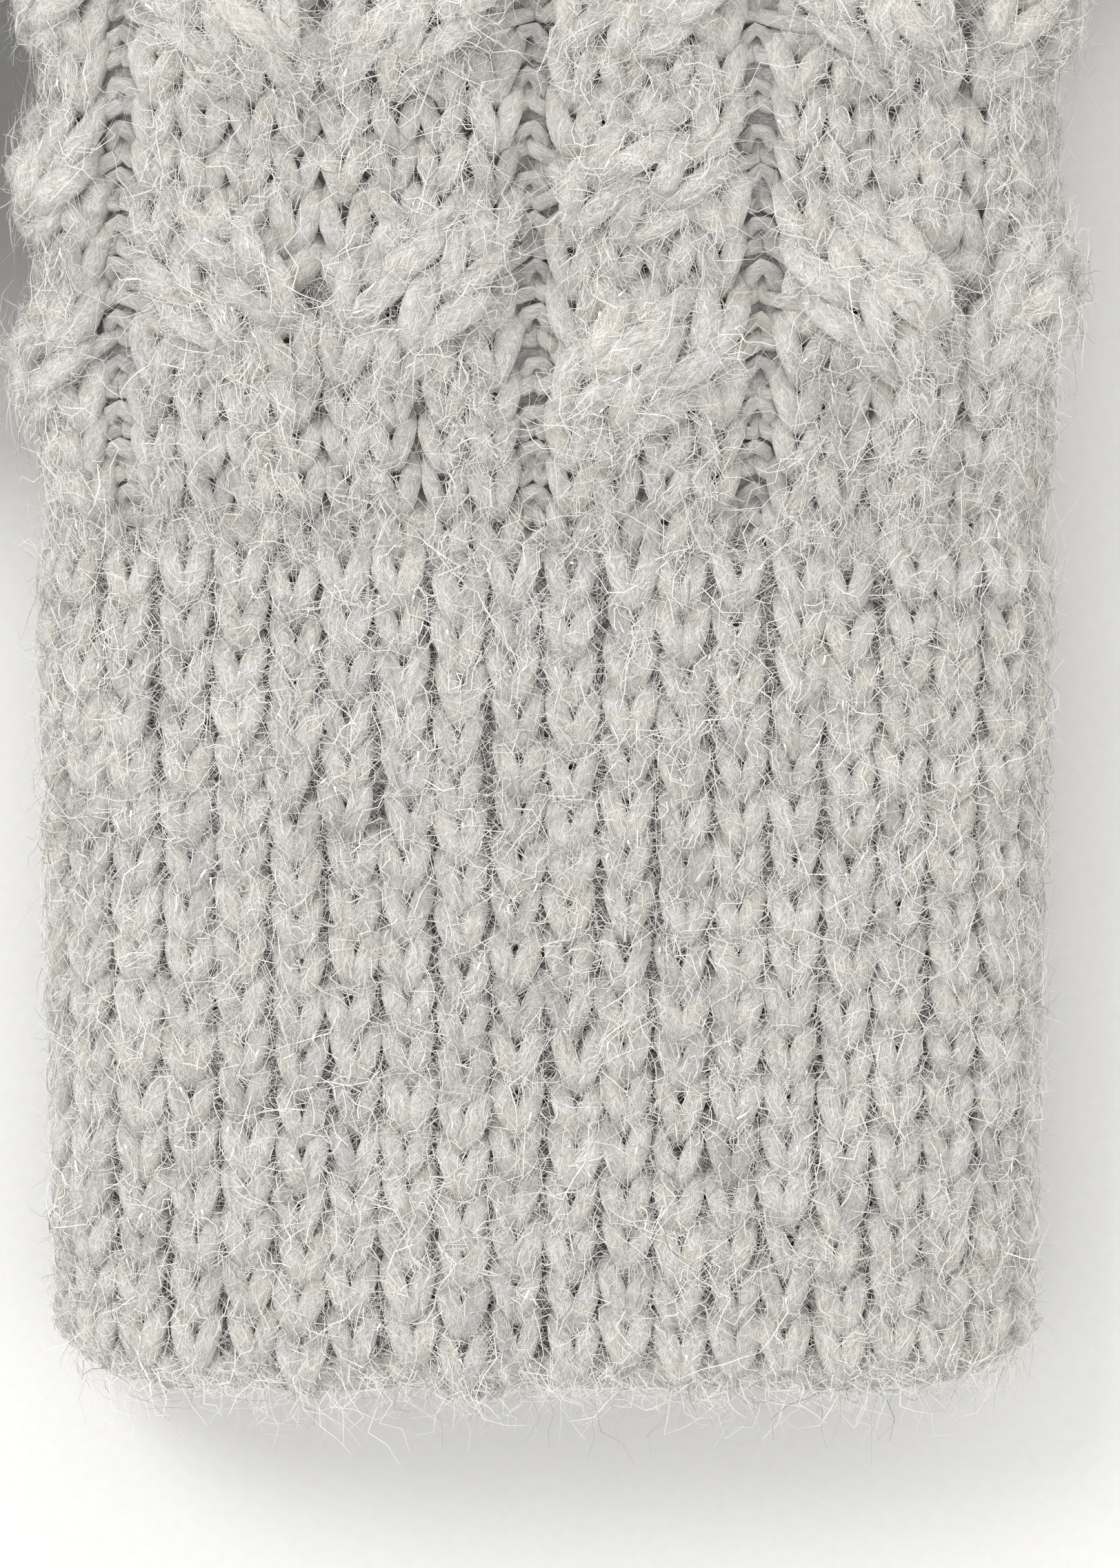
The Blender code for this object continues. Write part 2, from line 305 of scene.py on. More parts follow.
def body_surface():
    rings, perimeters = [], []

    def add(y, wide, thick, shrink=1.0, middle=0.0):
        across, up, perimeter = oval(wide * shrink, thick * shrink, Surface.COLUMNS)
        x = wide * across * shrink
        z = middle + (thick * up - middle) * shrink
        corner = MOUTH_CORNER * np.abs(across) ** 10 * max(1 - y / MOUTH_EASE, 0) ** 2
        rings.append(np.stack([x, y + corner, z], axis=1))
        perimeters.append(perimeter)

    for y in np.linspace(0, LENGTH - CROWN_LENGTH, 120):
        add(y, float(half_width(y)), float(thickness(y)))
    for turn in np.linspace(0, CROWN_TURN, 60)[1:]:
        add(
            LENGTH - CROWN_LENGTH + CROWN_LENGTH * math.sin(turn),
            HAND_HALF * math.cos(turn) ** 0.8,
            HAND_THICK * math.cos(turn) ** 0.33,
        )
    wide = HAND_HALF * math.cos(CROWN_TURN) ** 0.8
    thick = HAND_THICK * math.cos(CROWN_TURN) ** 0.33
    start = LENGTH - CROWN_LENGTH + CROWN_LENGTH * math.sin(CROWN_TURN)
    for shrink in np.linspace(1, 0.12, 12)[1:]:
        y = start + (LENGTH - start) * math.sqrt(1 - shrink**2)
        add(y, wide, thick, shrink, thick / 2)
    return Surface(rings, perimeters)


def bezier(points, t):
    a, b, c, d = np.array(points)
    return a * (1 - t) ** 3 + 3 * b * t * (1 - t) ** 2 + 3 * c * t**2 * (1 - t) + d * t**3


def thumb_surface():
    mouth = THUMB_PLANE + THUMB_LIP
    low, high = THUMB_MIDDLE - THUMB_MOUTH_HALF, THUMB_MIDDLE + THUMB_MOUTH_HALF
    tip_in, tip_out = THUMB_TIP_Y
    inner = [(mouth, high), (mouth + 0.001, THUMB_MIDDLE + 0.036), (0.0620, tip_in - 0.006), (0.0745, tip_in)]
    outer = [(mouth, low), (0.0770, low + 0.002), (0.0980, tip_out - 0.0265), (0.0885, tip_out)]
    rings, perimeters = [], []

    def add(near, far, thick, shrink=1.0):
        middle, reach = (near + far) / 2, (far - near) / 2 * shrink
        across, up, perimeter = oval(np.linalg.norm(reach), thick * shrink, Surface.COLUMNS)
        flat = middle + across[:, None] * reach
        z = thick / 2 + (thick * up - thick / 2) * shrink
        rings.append(np.column_stack([flat, z + (THUMB_THICK - thick) * 0.25]))
        perimeters.append(perimeter)

    for back in (0.0035, 0.0015):
        shift = np.array([-back, 0])
        add(np.array(inner[0]) + shift, np.array(outer[0]) + shift, THUMB_THICK)
    for t in np.linspace(0, 1, 60):
        thick = THUMB_THICK + (THUMB_TIP_THICK - THUMB_THICK) * t**3
        add(bezier(inner, t), bezier(outer, t), thick)
    near, far = bezier(inner, 1), bezier(outer, 1)
    ahead = unit(bezier(inner, 1) + bezier(outer, 1) - bezier(inner, 0.97) - bezier(outer, 0.97))
    for shrink in np.linspace(1, 0.15, 9)[1:]:
        lift = ahead * 0.0035 * math.sqrt(1 - shrink**2)
        add(near + lift, far + lift, THUMB_TIP_THICK, shrink)
    return Surface(rings, perimeters)


# ---- stitches


class Course:
    """One closed row of yarn: turn, run, rise and radius of its points."""

    def __init__(self, turn, run, rise, radius):
        self.turn, self.run, self.rise, self.radius = turn, run, rise, radius


def rounded(arc, run, rise, radius, around):
    """The closed row as a smooth curve through its points, with the turn still in metres of arc."""
    table = np.stack([arc, run, rise, radius], axis=1)
    count = len(table)
    wrap = np.array([around, 0, 0, 0])
    padded = np.concatenate([table[-1:] - wrap, table, table[:2] + wrap])
    places = np.arange(int(count * YARN_POINTS)) / int(count * YARN_POINTS) * count
    at = places.astype(int)
    f = (places - at)[:, None]
    a, b, c, d = padded[at], padded[at + 1], padded[at + 2], padded[at + 3]
    curve = 0.5 * (2 * b + (c - a) * f + (2 * a - 5 * b + 4 * c - d) * f**2 + (3 * b - a - 3 * c + d) * f**3)
    return curve.T


def lay_row(surface, stitches, row_run, row_height, base, rng):
    """A row of yarn through stitches.

    Each stitch has a path(run), which gives its arc, lift, lean and spread, a column in it, a width and a
    purl flag, and may have a round, crown, sink, slip and thickness of its own.
    """
    blocks = []
    across, along, rise, radius = STITCH_POINTS.T
    by_across, by_along, by_rise, by_radius = JITTER
    for stitch in stitches:
        jitter = rng.normal(0, 1, 4)
        width = stitch["width"]
        side = (stitch["column"] + across + by_across * jitter[0]) * width
        run = row_run + stitch.get("slip", 0.0) + (along + by_along * jitter[1]) * row_height
        arc, lift, lean, spread = stitch["path"](run)
        face = -1.0 if stitch["purl"] else 1.0
        height = face * rise * MM + lift + by_rise * MM * jitter[2]
        height = height - stitch.get("crown", STITCH_CROWN) * (side / MM) ** 2 * MM
        reach = arc + side * spread * np.cos(lean)
        run = run - side * np.sin(lean)
        height = height - stitch.get("sink", 0.0) * smooth((along - 0.5) / 0.4)
        plump = (1 + by_radius * jitter[3]) * stitch.get("thick", 1.0) * (1 + LEAN_PLUMP * np.sin(lean) ** 2)
        plump = plump * (1 + SPREAD_PLUMP * np.clip(spread - 1, 0, 0.5))
        blocks.append((reach, run, height, radius * MM * plump, face))
    arcs, runs, rises, radii = [], [], [], []
    around = stitches[0].get("round", surface.perimeter(np.array(row_run)))
    for index, (arc, run, height, radius, face) in enumerate(blocks):
        before = blocks[index - 1]
        first, last = arc[0], before[0][-1]
        if index == 0:
            last = last - around
        if first - last > JOIN_GAP and face == before[4]:
            arcs.append([(first + last) / 2])
            runs.append([(run[0] + before[1][-1]) / 2 + JOIN_AHEAD * row_height])
            rises.append([(height[0] + before[2][-1]) / 2 - face * JOIN_SINK * MM])
            radii.append([JOIN_RADIUS * MM])
        arcs.append(arc)
        runs.append(run)
        rises.append(height)
        radii.append(radius)
    arc = np.concatenate(arcs)
    run = np.concatenate(runs)
    rise = np.concatenate(rises) + base
    return Course(*rounded(arc, run, rise, np.concatenate(radii), around))


def straight(centre, lift, wander, phase):
    """A column that runs straight along the mitten but for a slight wander."""
    def path(run):
        arc = centre + wander * np.sin(run * 95 + phase) + 0.6 * wander * np.sin(run * 230 + 2.3 * phase)
        return arc, np.full_like(run, lift), np.zeros_like(run), np.ones_like(run)

    return path


def strand(centre, direction, cable, first):
    """A rope's strand of two columns: direction is the front strand's lean, first says which strand."""
    period, share = cable["period"], cable["share"]
    start = cable["phase"] - period + share * period / 2

    def state(run):
        x = (np.maximum(run, start) - cable["phase"]) / period
        cycle = np.floor(x + 0.5)
        swing = smooth((x - cycle) / share + 0.5)
        moves_front = (cycle.astype(int) % 2 == 0) == first
        offset = np.where(moves_front, -1 + 2 * swing, 1 - 2 * swing) * direction
        bump = (4 * swing * (1 - swing)) ** 0.8
        lift = np.where(moves_front, cable["front"], cable["back"]) * bump
        spread = 1 + np.where(moves_front, FRONT_SPREAD, BACK_SPREAD) * bump
        return centre + offset * STITCH, lift, spread

    def path(run):
        arc, lift, spread = state(run)
        ahead, behind = state(run + LEAN_STEP)[0], state(run - LEAN_STEP)[0]
        lean = np.arctan2(ahead - behind, 2 * LEAN_STEP)
        return arc, lift, lean * LEAN_SHARE, spread

    return path


def hand_layout():
    """Where each column of LAYOUT lies round the hand, in arc metres, ending in two plain columns."""
    columns = []
    place = LAYOUT_START
    for item in LAYOUT:
        if isinstance(item, tuple):
            direction, cable = item
            columns.append(("rope", place + 2 * STITCH, direction, cable))
            place += 4 * STITCH
        else:
            columns.append(("purl", place + item / 2, item))
            place += item
    columns.append(("plain", place + STITCH))
    return columns


def rib_rows(surface, rng):
    courses = []
    count = int(round((CUFF_LENGTH - ROW_MARGIN) / RIB_ROW))
    height = (CUFF_LENGTH - ROW_MARGIN) / count
    phases = rng.uniform(0, 2 * math.pi, RIB_UNITS)
    slips = rng.normal(0, RIB_SLIP, RIB_UNITS)
    for row in range(count):
        run = FIRST_RIB_ROW + row * height
        around = float(surface.perimeter(np.array(run)))
        pitch = around / RIB_UNITS
        stitches = []
        for k in range(RIB_UNITS):
            centre = (k + 0.5 - RIB_UNITS / 2) * pitch
            knit = straight(centre, RIB_RISE, RIB_WANDER, phases[k])
            purl = straight(centre + pitch / 2, -RIB_RISE, RIB_WANDER, phases[k])
            sink = LAST_RIB_SINK if row == count - 1 else 0.0
            stitches.append({"path": knit, "column": 0, "width": RIB_WIDE, "purl": False, "crown": RIB_CROWN,
                             "sink": sink, "slip": slips[k]})
            stitches.append({"path": purl, "column": 0, "width": RIB_PURL_WIDE, "purl": True,
                             "thick": RIB_PURL_THICK, "slip": slips[k]})
        courses.append(lay_row(surface, stitches, run, height, RIB_BASE, rng))
    return courses


def hand_rows(surface, rng):
    layout = hand_layout()
    courses = []
    rows = int((surface.length - CUFF_LENGTH - ROW_MARGIN) / ROW)
    for row in range(rows):
        run = CUFF_LENGTH + FIRST_HAND_ROW + row * ROW
        here = np.array([run])
        stitches = []
        for column in layout:
            if column[0] == "purl":
                path = straight(column[1], -PURL_SINK, COLUMN_WANDER, column[1] * 900)
                stitches.append({"path": path, "column": 0, "width": column[2] * PURL_STRETCH, "purl": True,
                                 "at": column[1]})
            elif column[0] == "plain":
                for k in (-0.5, 0.5):
                    path = straight(column[1], 0.0, COLUMN_WANDER, 1.0)
                    stitches.append({"path": path, "column": k, "width": STITCH, "purl": False,
                                     "at": column[1] + k * STITCH})
            else:
                for first in (True, False):
                    path = strand(column[1], column[2], column[3], first)
                    middle = float(path(here)[0][0])
                    for k in (-0.5, 0.5):
                        stitches.append({"path": path, "column": k, "width": STITCH, "purl": False,
                                         "at": middle + k * STITCH})
        stitches.sort(key=lambda s: s["at"])
        courses.append(fit_row(surface, stitches, run, rng))
    return courses


def fit_row(surface, stitches, run, rng):
    """The row at run: whole on the hand, and with the columns nearest the sides left out on the crown."""
    if run <= LENGTH - CROWN_LENGTH:
        course = lay_row(surface, [dict(s, round=HAND_ROUND) for s in stitches], run, ROW, HAND_BASE, rng)
        course.turn = course.turn / HAND_ROUND
        return course
    around = float(surface.perimeter(np.array(run)))
    kept = []
    for centre in (0.0, HAND_ROUND / 2):
        own = [dict(s, shift=0.0) for s in stitches if abs(s["at"] - centre) <= HAND_ROUND / 4]
        if centre > 0:
            own += [dict(s, shift=HAND_ROUND) for s in stitches if s["at"] < -HAND_ROUND / 4]
        room = around / 4 - 0.25 * STITCH
        own = [s for s in own if abs(s["at"] + s["shift"] - centre) <= room] or own[:2]
        edge = max(abs(s["at"] + s["shift"] - centre) for s in own) + STITCH / 2
        own.sort(key=lambda s: s["at"] + s["shift"])
        kept += [dict(s, face=centre, squeeze=around / 4 / edge) for s in own]
    return lay_crown(surface, kept, run, around, rng)


def lay_crown(surface, kept, run, around, rng):
    """A crown row: each stitch is squeezed towards the middle of its own face."""
    adjusted = []
    for s in kept:
        base_path, centre, squeeze, shift = s["path"], s["face"], s["squeeze"], s["shift"]
        offset = 0.0 if centre == 0.0 else around / 2

        def path(r, base_path=base_path, centre=centre, squeeze=squeeze, shift=shift, offset=offset):
            arc, lift, lean, spread = base_path(r)
            return (arc + shift - centre) * squeeze + offset, lift * CROWN_LIFT, lean * CROWN_LEAN, spread

        adjusted.append(dict(s, path=path, width=s["width"] * squeeze, round=around))
    course = lay_row(surface, adjusted, run, ROW, HAND_BASE, rng)
    course.turn = course.turn / around
    return course


def plain_rows(surface, rng, row, start, base):
    """Rows of plain knit on a tapering tube, with as many columns as fit."""
    courses = []
    run = start
    while run < surface.length - 0.002:
        around = float(surface.perimeter(np.array(run)))
        count = max(int(around / STITCH), 4)
        width = around / count
        stitches = [
            {"path": straight((k + 0.5) * width, 0.0, PLAIN_WANDER, k),
             "column": 0, "width": width, "purl": False}
            for k in range(count)
        ]
        course = lay_row(surface, stitches, run, row, base, rng)
        course.turn = course.turn / around
        courses.append(course)
        run += row
    return courses


def twisted(count, turn, run, rise, twists, wide, high, radius, along=False):
    """Two yarns twisted round one closed line: a cast-on edge, a seam or the gather of a tip."""
    courses = []
    share = np.arange(count) / count
    for phase in (0, math.pi):
        swing = 2 * math.pi * twists * share + phase
        aside = wide * np.cos(swing)
        around = turn(share) + (aside / TWIST_ROUND if along else 0)
        runs = run(share) + (0 if along else aside)
        courses.append(Course(around, runs, rise + high * np.sin(swing), np.full(count, radius)))
    return courses


def whole(share):
    return share


def level(run):
    return lambda share: np.full_like(share, run)


def edge_rows():
    """The cast-on edge and the thin line of purl bumps where the ribbing meets the hand."""
    rows = []
    for run, *yarn in EDGES:
        rows += twisted(EDGE_POINTS, whole, level(run), *yarn)
    return rows


def gather_rows(surface):
    """The drawn-up end of a tip: two rings of yarn pulled tight, one inside the other."""
    rows = []
    for back, rise, twists in GATHER_RINGS:
        rows += twisted(GATHER_POINTS, whole, level(surface.length - back), rise, twists, *GATHER_YARN)
    return rows


def seam_rows(start, end):
    """An overcast seam inside the wall, up one side of its ridge and back down the other."""
    long = end - start

    def run(share):
        return start + long * (1 - np.abs(2 * share - 1))

    def place(share):
        return SEAM_TURN + np.sign(share - 0.5) * SEAM_HALF / TWIST_ROUND

    points, twists = int(long * SEAM_POINTS_A_METRE), long * SEAM_TWISTS_A_METRE
    return twisted(points, place, run, SEAM_RISE, twists, *SEAM_YARN, along=True)


# ---- meshes


def tube(points, radii, normals, sides=YARN_SIDES):
    """Vertices of a closed tube, ring after ring, and how far along it each ring lies."""
    ahead, behind = np.roll(points, -1, axis=0), np.roll(points, 1, axis=0)
    tangent = unit(ahead - behind)
    side = unit(np.cross(tangent, normals))
    up = np.cross(side, tangent)
    turn = np.arange(sides) / sides * 2 * math.pi - math.pi / 2
    rings = (
        points[:, None]
        + radii[:, None, None] * (np.cos(turn)[None, :, None] * side[:, None]
                                  + np.sin(turn)[None, :, None] * up[:, None])
    )
    along = np.concatenate([[0], np.cumsum(np.linalg.norm(ahead - points, axis=1))])
    return rings.reshape(-1, 3), along


def tube_faces(count, sides):
    ring, side = np.meshgrid(np.arange(count), np.arange(sides), indexing="ij")
    ring, side = ring.ravel(), side.ravel()
    next_ring, next_side = (ring + 1) % count, (side + 1) % sides
    faces = np.stack([ring * sides + side, ring * sides + next_side,
                      next_ring * sides + next_side, next_ring * sides + side], axis=1)
    return faces, ring, side


def mapped_places(surface, turn, run):
    """Where a place lies on the mitten's map, in millimetres round it and along it."""
    turn = (turn + 0.5) % 1.0 - 0.5
    return np.stack([turn * surface.perimeter(run) / MM, run / MM], axis=-1)


class Builder:
    """Gathers vertices, quads and their two texture coordinates for one object."""

    def __init__(self):
        self.points, self.faces, self.uvs, self.places, self.slots = [], [], [], [], []
        self.count = 0

    def add(self, points, faces, uvs, places, slot=0):
        self.points.append(points)
        self.faces.append(faces + self.count)
        self.uvs.append(uvs)
        self.places.append(places)
        self.slots.append(np.full(len(faces), slot))
        self.count += len(points)

    def add_tube(self, surface, course, start):
        points, normals = surface.place(course.turn, course.run, course.rise)
        radii = course.radius
        points[:, 2] = np.maximum(points[:, 2], radii)
        rings, along = tube(points, radii, normals)
        faces, ring, side = tube_faces(len(points), YARN_SIDES)
        low, high = along[ring] / MM, along[ring + 1] / MM
        left, right = side / YARN_SIDES, (side + 1) / YARN_SIDES
        uvs = np.stack([np.stack([low, left], 1), np.stack([low, right], 1),
                        np.stack([high, right], 1), np.stack([high, left], 1)], axis=1)
        uvs[:, :, 0] += start
        spots = mapped_places(surface, course.turn, course.run)
        near, far = spots[ring], spots[(ring + 1) % len(points)]
        self.add(rings, faces, uvs, np.stack([near, near, far, far], axis=1))

    def object(self, name, side, materials):
        sign, shift = SIDES[side]
        points = np.concatenate(self.points)
        faces = np.concatenate(self.faces)
        layers = {"yarn": np.concatenate(self.uvs), "place": np.concatenate(self.places)}
        world = np.stack([sign * (CENTRE_X + points[:, 0]), shift + points[:, 1], points[:, 2]], axis=1)
        if sign < 0:
            faces = faces[:, ::-1]
            layers = {key: values[:, ::-1] for key, values in layers.items()}
        mesh = bpy.data.meshes.new(name)
        mesh.vertices.add(len(world))
        mesh.vertices.foreach_set("co", world.astype(np.float32).ravel())
        size = faces.shape[1]
        mesh.loops.add(faces.size)
        mesh.loops.foreach_set("vertex_index", faces.astype(np.int32).ravel())
        mesh.polygons.add(len(faces))
        mesh.polygons.foreach_set("loop_start", np.arange(len(faces), dtype=np.int32) * size)
        for key, values in layers.items():
            layer = mesh.uv_layers.new(name=key)
            layer.uv.foreach_set("vector", values.astype(np.float32).ravel())
        for finish in materials:
            mesh.materials.append(finish)
        mesh.polygons.foreach_set("material_index", np.concatenate(self.slots).astype(np.int32))
        mesh.update(calc_edges=True)
        mesh.validate()
        mesh.shade_smooth()
        assert len(faces) * 2 < MAX_TRIANGLES, name
        made = bpy.data.objects.new(name, mesh)
        bpy.context.scene.collection.objects.link(made)
        return made


# ---- zones and joints


ZONES = {  # where each ends along the mitten, from the mouth
    "hem": 0.0265,
    "cuff": 0.052,
    "wrist": 0.0752,
    "heel": 0.098,
    "palm": 0.124,
    "thenar": 0.150,
    "knuckles": 0.196,
    "crown": TIP,
}


def zone_of(run):
    return next(name for name, end in ZONES.items() if run < end)


def attach(made, side, zone):
    """Rides one piece of a zone on its body, or bakes its placement into its mesh."""
    sign, shift = SIDES[side]

    def at(x, y):
        return (sign * (CENTRE_X + x), shift + y, HAND_THICK / 2)

    if zone in ("hem", "cuff"):
        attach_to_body(made, f"{side}_cuff")
    elif zone in ("wrist", "heel"):
        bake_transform(made)
    elif zone in ("palm", "thenar"):
        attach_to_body(made, f"{side}_hand")
    elif zone == "knuckles":
        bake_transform(made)
    elif zone == "crown":
        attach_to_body(made, f"{side}_fingers")
    else:
        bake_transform(made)


# ---- fuzz


def roots(surface, courses, count, rng, least_rise):
    """Places on the outward half of the yarns: turn, run, rise and the yarn's own direction there."""
    turn = np.concatenate([c.turn for c in courses])
    run = np.concatenate([c.run for c in courses])
    rise = np.concatenate([c.rise for c in courses])
    radius = np.concatenate([c.radius for c in courses])
    ahead = np.concatenate([np.roll(c.turn, -1) - c.turn for c in courses])
    forward = np.concatenate([np.roll(c.run, -1) - c.run for c in courses])
    around = surface.perimeter(run)
    ahead = (ahead + 0.5) % 1.0 - 0.5
    good = np.flatnonzero(rise > least_rise)
    pick = rng.choice(good, count)
    mix = rng.uniform(0, 1, count)
    out = rng.uniform(-OUTWARD, OUTWARD, count)
    direction = unit(np.stack([ahead[pick] * around[pick], forward[pick]], axis=1) + 1e-9)
    sideways = radius[pick] * np.sin(out) * 0.95
    turn = turn[pick] + (mix * ahead[pick]) + sideways * direction[:, 1] / around[pick]
    run = run[pick] + mix * forward[pick] - sideways * direction[:, 0]
    rise = rise[pick] + radius[pick] * np.cos(out) * 0.92
    upper = np.cos(2 * math.pi * turn) > 0
    return turn, run, rise, direction, upper


def laid(surface, turns, runs, rises, rng, roll):
    """The points of ribbons on a surface and the way each is wide, rolled about its own line."""
    points, normals = surface.place(turns, runs, rises)
    points[..., 2] = np.maximum(points[..., 2], FIBRE_FLOOR)
    tangent = unit(np.gradient(points, axis=1))
    flat = unit(np.cross(tangent, normals))
    up = np.cross(flat, tangent)
    turned = rng.normal(0, roll, len(points))[:, None, None]
    return points, flat * np.cos(turned) + up * np.sin(turned)


def hairs(surface, courses, count, rng, least_rise):
    """Flat tapering ribbons, most of them matted down on the yarns and some standing off them."""
    turn, run, rise, direction, upper = roots(surface, courses, count, rng, least_rise)
    loose = rng.uniform(0, 1, count) > 1 - LOOSE_SHARE
    length = rng.gamma(4.0, 1.25, count) * MM
    length = np.clip(length, HAIR_LENGTH[0] * MM, HAIR_LENGTH[1] * MM)
    heading = np.arctan2(direction[:, 1], direction[:, 0]) + rng.normal(0, 0.75, count)
    heading += np.where(rng.uniform(0, 1, count) < 0.5, math.pi, 0)
    bend = rng.normal(0, 2.1, count)
    wave = rng.uniform(0.3, 1.1, count)
    beat = rng.uniform(1.2, 2.6, count) * 2 * math.pi
    phase = rng.uniform(0, 2 * math.pi, count)
    t = np.linspace(0, 1, HAIR_STEPS + 1)
    middle = (t[:-1] + t[1:]) / 2
    angles = (heading[:, None] + bend[:, None] * (middle[None] - 0.3)
              + wave[:, None] * np.sin(beat[:, None] * middle[None] + phase[:, None]))
    step = (length / HAIR_STEPS)[:, None]
    arc = np.concatenate([np.zeros((count, 1)), np.cumsum(np.cos(angles) * step, axis=1)], axis=1)
    forward = np.concatenate([np.zeros((count, 1)), np.cumsum(np.sin(angles) * step, axis=1)], axis=1)
    hump = np.where(loose, rng.uniform(0.7, 2.8, count), 0.12 + np.abs(rng.normal(0.30, 0.26, count))) * MM
    profile = np.where(loose[:, None], smooth(t[None] * 0.9), np.sin(math.pi * t[None] ** 0.8))
    around = surface.perimeter(run)[:, None]
    turns = turn[:, None] + arc / around
    runs = run[:, None] + forward
    rises = rise[:, None] + hump[:, None] * profile
    points, wide = laid(surface, turns, runs, rises, rng, 0.6)
    tuft = rng.uniform(0, 1, count) < TUFT_SHARE
    thick = np.where(tuft, TUFT_THICK, 1.0) * np.where(loose, LOOSE_THICK, 1.0)
    half = (thick * rng.uniform(*HAIR_HALF, count))[:, None] * MM * (1 - 0.72 * t[None] ** 1.5)
    reach = wide * half[..., None]
    return Ribbons(points - reach, points + reach, mapped_places(surface, turn, run),
                   rng.uniform(0, 1, count), upper)


class Ribbons:
    """Many narrow ribbons: their two edges, where their roots lie, a shade each, and whether on top."""

    def __init__(self, left, right, places, shade, upper):
        self.left, self.right, self.places, self.shade, self.upper = left, right, places, shade, upper

    def chosen(self, mask):
        return Ribbons(self.left[mask], self.right[mask], self.places[mask], self.shade[mask],
                       self.upper[mask])


def add_ribbons(builder, made, slot=0):
    """Adds ribbons, each a row of quads, to a builder."""
    left, right, shade = made.left, made.right, made.shade
    count, steps = left.shape[0], left.shape[1]
    points = np.stack([left, right], axis=2).reshape(-1, 3)
    base = np.arange(count)[:, None] * steps * 2
    at = np.arange(steps - 1)[None] * 2
    corner = base + at
    faces = np.stack([corner, corner + 1, corner + 3, corner + 2], axis=2).reshape(-1, 4)
    t0 = np.broadcast_to(np.arange(steps - 1)[None] / (steps - 1), (count, steps - 1)).ravel()
    t1 = t0 + 1 / (steps - 1)
    s = np.repeat(shade * 97, steps - 1)
    uvs = np.stack([np.stack([s, t0], 1), np.stack([s, t0], 1),
                    np.stack([s, t1], 1), np.stack([s, t1], 1)], axis=1)
    places = np.repeat(np.repeat(made.places, steps - 1, axis=0)[:, None], 4, axis=1)
    builder.add(points, faces, uvs, places, slot)


def glints(surface, courses, count, rng, least_rise):
    """Short bright metallic filaments plied into the yarn."""
    turn, run, rise, direction, upper = roots(surface, courses, count, rng, least_rise)
    length = rng.uniform(*GLINT_LENGTH, count) * MM
    heading = np.arctan2(direction[:, 1], direction[:, 0]) + rng.normal(0, 0.25, count)
    t = np.linspace(-0.5, 0.5, 5)
    bend = rng.normal(0, 0.25, count)
    angle = heading[:, None] + bend[:, None] * t[None]
    arc = np.cos(angle) * length[:, None] * t[None]
    forward = np.sin(angle) * length[:, None] * t[None]
    around = surface.perimeter(run)[:, None]
    lift = (GLINT_LIFT[0] + GLINT_LIFT[1] * (1 - (2 * t[None]) ** 2)) * MM
    turns, runs = turn[:, None] + arc / around, run[:, None] + forward
    points, wide = laid(surface, turns, runs, rise[:, None] + lift, rng, 0.5)
    half = rng.uniform(*GLINT_HALF, count)[:, None] * MM * np.ones_like(t)[None]
    reach = wide * half[..., None]
    return Ribbons(points - reach, points + reach, mapped_places(surface, turn, run),
                   rng.uniform(0, 1, count), upper)


# ---- felt


def felt(builder, surface, start, end, level, rng):
    """A thin closed skin of matted fibres behind the stitches, from start to end."""
    rows = max(int((end - start) / FELT_STEP), 2)
    run, turn = np.meshgrid(np.linspace(start, end, rows + 1), np.arange(FELT_COLUMNS) / FELT_COLUMNS,
                            indexing="ij")
    rough = rng.normal(0, FELT_ROUGH, run.shape)
    outer, _ = surface.place(turn, run, np.full_like(run, level) + rough)
    inner, _ = surface.place(turn, run, np.full_like(run, level - FELT_THICK) + rough)
    layers = np.concatenate([outer, inner[::-1]])
    layers[..., 2] = np.maximum(layers[..., 2], FELT_FLOOR)
    count = len(layers)
    ring, side = np.meshgrid(np.arange(count), np.arange(FELT_COLUMNS), indexing="ij")
    ring, side = ring.ravel(), side.ravel()
    faces = np.stack([ring * FELT_COLUMNS + side, ring * FELT_COLUMNS + (side + 1) % FELT_COLUMNS,
                      (ring + 1) % count * FELT_COLUMNS + (side + 1) % FELT_COLUMNS,
                      (ring + 1) % count * FELT_COLUMNS + side], axis=1)
    left, right, low = side * 2.1, (side + 1) * 2.1, ring * FELT_STEP / MM
    high = low + FELT_STEP / MM
    uvs = np.stack([np.stack([left, low], 1), np.stack([right, low], 1),
                    np.stack([right, high], 1), np.stack([left, high], 1)], axis=1)
    builder.add(layers.reshape(-1, 3), faces, uvs, uvs)


